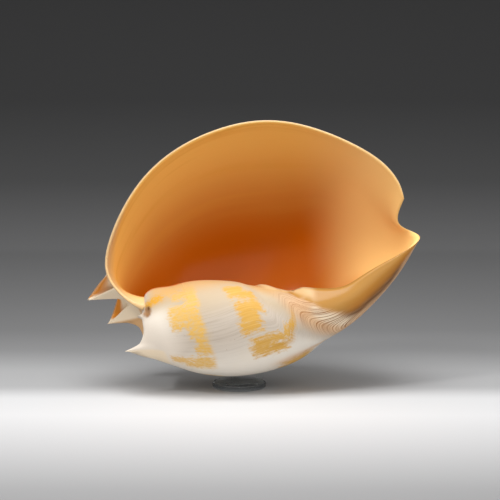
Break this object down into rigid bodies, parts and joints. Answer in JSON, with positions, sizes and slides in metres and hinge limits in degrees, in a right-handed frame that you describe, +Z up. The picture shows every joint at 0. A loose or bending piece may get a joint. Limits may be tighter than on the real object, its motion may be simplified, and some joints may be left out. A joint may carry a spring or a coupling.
{
  "type": "baler volute shell on a display stand",
  "caption": "Large open baler volute sea shell with a wide flaring mouth and shoulder spines, resting on a small clear pegged display stand.",
  "frame": {"origin": "middle of the stand's flat underside", "axes": "+Z up, +X along the shell from the spire end to the front end, the mouth of the shell opens towards -Y"},
  "size_m": [0.313, 0.1585, 0.2553],
  "materials": {
    "shell": "glossy porcelain-like inside, satin cream outside",
    "clear_acrylic": "clear, polished"
  },
  "bodies": {
    "root": {"volute_shell": "shell", "clear_stand": "clear_acrylic"}
  },
  "joints": []
}
